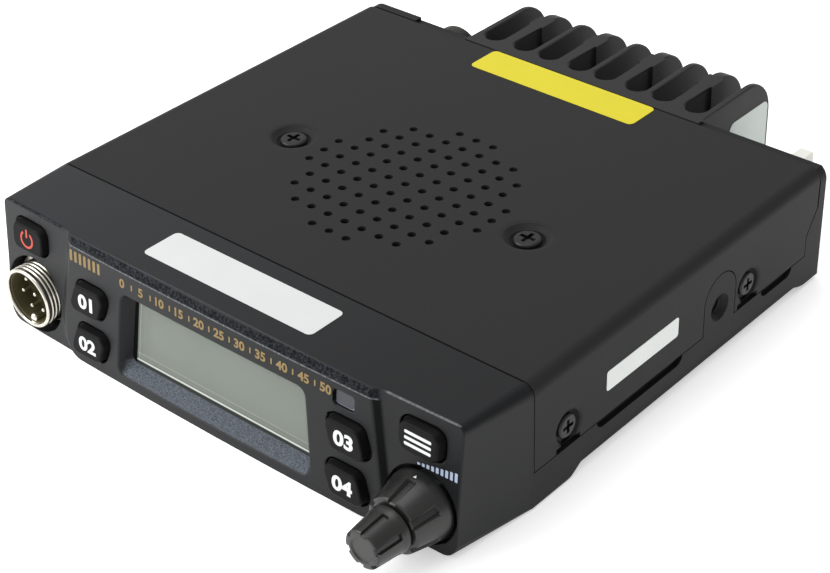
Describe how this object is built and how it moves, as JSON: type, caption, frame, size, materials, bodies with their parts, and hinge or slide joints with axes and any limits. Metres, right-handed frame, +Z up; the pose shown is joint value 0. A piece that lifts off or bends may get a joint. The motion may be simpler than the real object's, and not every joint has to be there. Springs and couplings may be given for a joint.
{
  "type": "vhf mobile radio",
  "caption": "low rectangular mobile radio with a display, rubber keys, concentric knobs, a round microphone socket, a top speaker grille and a finned heat sink",
  "frame": {"origin": "centre of the front foot's resting face, on the table plane", "axes": "+X to the right seen from the front, +Y from the front to the rear, +Z up"},
  "size_m": [0.14, 0.1767, 0.0311],
  "materials": {
    "panel_plastic": "moulded dark grey plastic with a fine texture",
    "lens_clear": "clear polished acrylic",
    "display": "grey-green liquid crystal cell",
    "white_plastic": "white nylon",
    "light_pipe": "milky light pipe",
    "key_rubber": "black silicone rubber",
    "knob_plastic": "black moulded plastic",
    "board": "green glass-fibre laminate",
    "dark_plastic": "black moulding",
    "plain_steel": "zinc plated",
    "black_screw": "black oxide",
    "chassis_paint": "black paint on die-cast aluminium",
    "sink_paint": "black paint on cast aluminium",
    "cover_paint": "fine-textured charcoal paint on steel sheet",
    "nickel": "nickel plate",
    "contact": "plated contacts",
    "insulator": "white fluoropolymer",
    "capacitor": "sleeved can",
    "cable": "flat flexible cable",
    "ferrite": "sintered ferrite",
    "paper": "pressed paper",
    "foam": "closed-cell foam"
  },
  "bodies": {
    "radio": {"front_panel": "panel_plastic", "lcd_lens": "lens_clear", "lcd_glass": "display", "lcd_holder": "white_plastic", "power_inlet": "white_plastic", "cable_connectors": "white_plastic", "led_light_pipe": "light_pipe", "status_led": "light_pipe", "control_board": "board", "main_board": "board", "tact_switches": "dark_plastic", "mic_insulator": "dark_plastic", "rf_power_module": "dark_plastic", "channel_filter": "dark_plastic", "control_board_screws": "plain_steel", "panel_screws": "plain_steel", "heat_sink_screws": "plain_steel", "board_screws": "plain_steel", "pot_body": "plain_steel", "pot_nut": "plain_steel", "shield_can": "plain_steel", "speaker_bracket": "plain_steel", "speaker_frame": "plain_steel", "top_screws": "black_screw", "side_screws": "black_screw", "chassis": "chassis_paint", "heat_sink": "sink_paint", "top_cover": "cover_paint", "mic_shell": "nickel", "mic_nut": "nickel", "antenna_socket": "nickel", "mic_pins": "contact", "antenna_contact": "contact", "power_contacts": "contact", "antenna_insulator": "insulator", "capacitors": "capacitor", "ribbon_cable": "cable", "speaker_magnet": "ferrite", "speaker_cone": "paper", "speaker_gasket": "foam"},
    "power_key": {"key_power": "key_rubber"},
    "function_key": {"key_function": "key_rubber"},
    "upper_left_key": {"key_upper_left": "key_rubber"},
    "lower_left_key": {"key_lower_left": "key_rubber"},
    "upper_right_key": {"key_upper_right": "key_rubber"},
    "lower_right_key": {"key_lower_right": "key_rubber"},
    "squelch_control": {"squelch_shaft": "plain_steel", "squelch_knob": "knob_plastic"},
    "volume_control": {"volume_shaft": "plain_steel", "volume_knob": "knob_plastic"}
  },
  "joints": [
    {"name": "power_key_press", "type": "slide", "parent": "radio", "child": "power_key", "axis": [0, 1, 0], "range_m": [0, 0.0008], "stiffness_N_per_m": 600, "springref_m": -0.001},
    {"name": "function_key_press", "type": "slide", "parent": "radio", "child": "function_key", "axis": [0, 1, 0], "range_m": [0, 0.0008], "stiffness_N_per_m": 600, "springref_m": -0.001},
    {"name": "upper_left_key_press", "type": "slide", "parent": "radio", "child": "upper_left_key", "axis": [0, 1, 0], "range_m": [0, 0.0008], "stiffness_N_per_m": 600, "springref_m": -0.001},
    {"name": "lower_left_key_press", "type": "slide", "parent": "radio", "child": "lower_left_key", "axis": [0, 1, 0], "range_m": [0, 0.0008], "stiffness_N_per_m": 600, "springref_m": -0.001},
    {"name": "upper_right_key_press", "type": "slide", "parent": "radio", "child": "upper_right_key", "axis": [0, 1, 0], "range_m": [0, 0.0008], "stiffness_N_per_m": 600, "springref_m": -0.001},
    {"name": "lower_right_key_press", "type": "slide", "parent": "radio", "child": "lower_right_key", "axis": [0, 1, 0], "range_m": [0, 0.0008], "stiffness_N_per_m": 600, "springref_m": -0.001},
    {"name": "squelch_control_turn", "type": "hinge", "parent": "radio", "child": "squelch_control", "pos_m": [0.0584, -0.03, 0.009], "axis": [0, -1, 0], "range_deg": [-150, 150]},
    {"name": "volume_control_turn", "type": "hinge", "parent": "radio", "child": "volume_control", "pos_m": [0.0584, -0.03, 0.009], "axis": [0, -1, 0], "range_deg": [-150, 150]}
  ]
}
